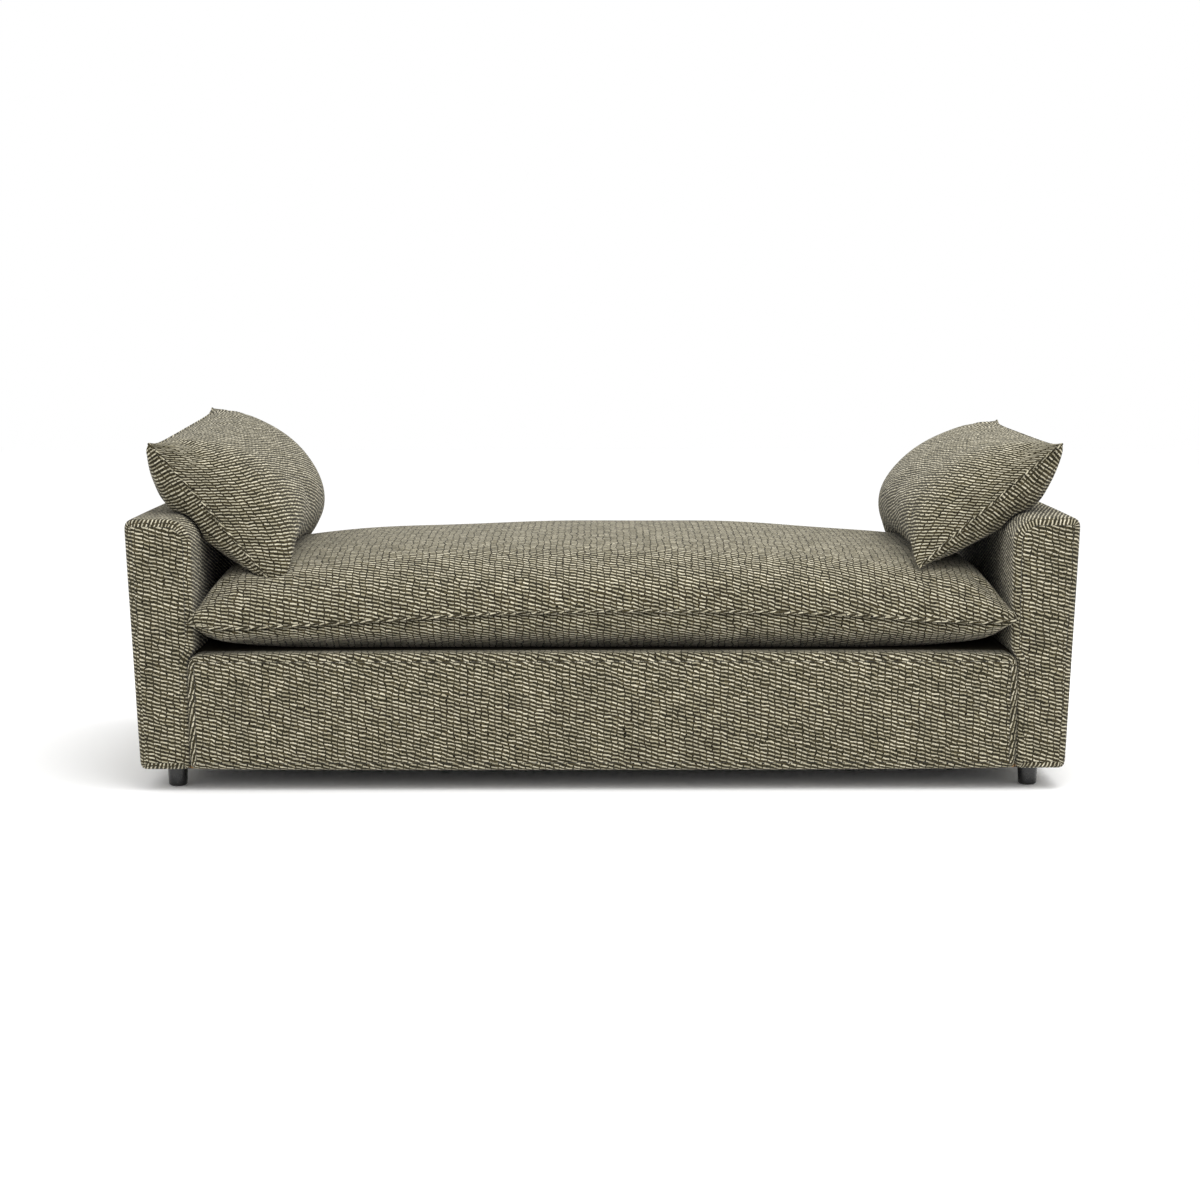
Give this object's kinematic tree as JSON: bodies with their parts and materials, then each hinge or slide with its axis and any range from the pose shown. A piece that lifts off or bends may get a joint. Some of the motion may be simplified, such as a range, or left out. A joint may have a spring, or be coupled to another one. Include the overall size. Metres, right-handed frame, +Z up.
{
  "type": "backless sofa",
  "caption": "Backless daybed sofa with low flared padded end arms, a loose crowned bench cushion, loose pillows leaning on the arms and short round feet.",
  "frame": {"origin": "on the floor under the middle of the sofa", "axes": "+X to the right seen from the front, along the seat; -Y towards the front; +Z up"},
  "size_m": [2.1978, 0.94, 0.8346],
  "materials": {
    "woven_upholstery": "chunky two-tone woven upholstery cloth, olive taupe with pale flecks",
    "deck_lining": "plain dark lining cloth",
    "dust_cloth": "black non-woven dust cloth",
    "padding_foam": "cut polyurethane foam",
    "fibre_fill": "feather and fibre fill in a lining",
    "needle_felt": "grey needle felt",
    "frame_timber": "sawn hardwood and plywood",
    "hardboard": "pressed hardboard",
    "spring_steel": "oiled spring wire",
    "zinc_steel": "zinc-plated steel",
    "black_foot": "black gloss",
    "glide_pad": "matt nylon",
    "zip_tape": "woven zip tape with moulded teeth",
    "zip_slider": "dark painted zinc"
  },
  "bodies": {
    "base": {"left_arm_front_post": "frame_timber", "left_arm_rear_post": "frame_timber", "left_arm_bottom_rail": "frame_timber", "left_arm_top_rail": "frame_timber", "left_arm_stay_rail": "frame_timber", "left_arm_outer_board": "hardboard", "left_arm_inner_board": "hardboard", "left_arm_foam": "padding_foam", "left_arm_cover": "woven_upholstery", "right_arm_front_post": "frame_timber", "right_arm_rear_post": "frame_timber", "right_arm_bottom_rail": "frame_timber", "right_arm_top_rail": "frame_timber", "right_arm_stay_rail": "frame_timber", "right_arm_outer_board": "hardboard", "right_arm_inner_board": "hardboard", "right_arm_foam": "padding_foam", "right_arm_cover": "woven_upholstery", "front_panel_cover": "woven_upholstery", "front_panel_foam": "padding_foam", "front_rail": "frame_timber", "rear_panel_cover": "woven_upholstery", "rear_panel_foam": "padding_foam", "rear_rail": "frame_timber", "base_side_rails": "frame_timber", "seat_stretchers": "frame_timber", "corner_cleats": "frame_timber", "arm_bolts": "zinc_steel", "arm_bolt_inserts": "zinc_steel", "sinuous_springs": "spring_steel", "spring_clips": "spring_steel", "spring_insulator": "needle_felt", "deck_foam": "padding_foam", "deck_cover": "deck_lining", "dust_cover": "dust_cloth", "front_left_foot": "black_foot", "front_right_foot": "black_foot", "rear_left_foot": "black_foot", "rear_right_foot": "black_foot", "centre_foot": "black_foot", "foot_glides": "glide_pad", "foot_bolts": "zinc_steel", "foot_inserts": "zinc_steel"},
    "seat_cushion": {"seat_cover_top": "woven_upholstery", "seat_cover_bottom": "woven_upholstery", "seat_foam_core": "padding_foam", "seat_fill_upper": "fibre_fill", "seat_fill_lower": "fibre_fill", "seat_zip": "zip_tape"},
    "left_pillow": {"left_pillow_front_panel": "woven_upholstery", "left_pillow_back_panel": "woven_upholstery", "left_pillow_fill": "fibre_fill", "left_pillow_zip": "zip_tape"},
    "right_pillow": {"right_pillow_front_panel": "woven_upholstery", "right_pillow_back_panel": "woven_upholstery", "right_pillow_fill": "fibre_fill", "right_pillow_zip": "zip_tape"},
    "seat_slider": {"seat_zip_slider": "zip_slider"},
    "left_pillow_slider": {"left_pillow_zip_slider": "zip_slider"},
    "right_pillow_slider": {"right_pillow_zip_slider": "zip_slider"}
  },
  "joints": [
    {"name": "seat_lift", "type": "slide", "parent": "base", "child": "seat_cushion", "axis": [0, 0, 1], "range_m": [0, 0.36]},
    {"name": "left_pillow_lift", "type": "slide", "parent": "seat_cushion", "child": "left_pillow", "axis": [0, 0, 1], "range_m": [0, 0.3]},
    {"name": "right_pillow_lift", "type": "slide", "parent": "seat_cushion", "child": "right_pillow", "axis": [0, 0, 1], "range_m": [0, 0.3]},
    {"name": "seat_zip_run", "type": "slide", "parent": "seat_cushion", "child": "seat_slider", "axis": [1, 0, 0], "range_m": [0, 1.1]},
    {"name": "left_zip_run", "type": "slide", "parent": "left_pillow", "child": "left_pillow_slider", "axis": [0, -1, 0], "range_m": [0, 0.44]},
    {"name": "right_zip_run", "type": "slide", "parent": "right_pillow", "child": "right_pillow_slider", "axis": [0, 1, 0], "range_m": [0, 0.44]}
  ]
}
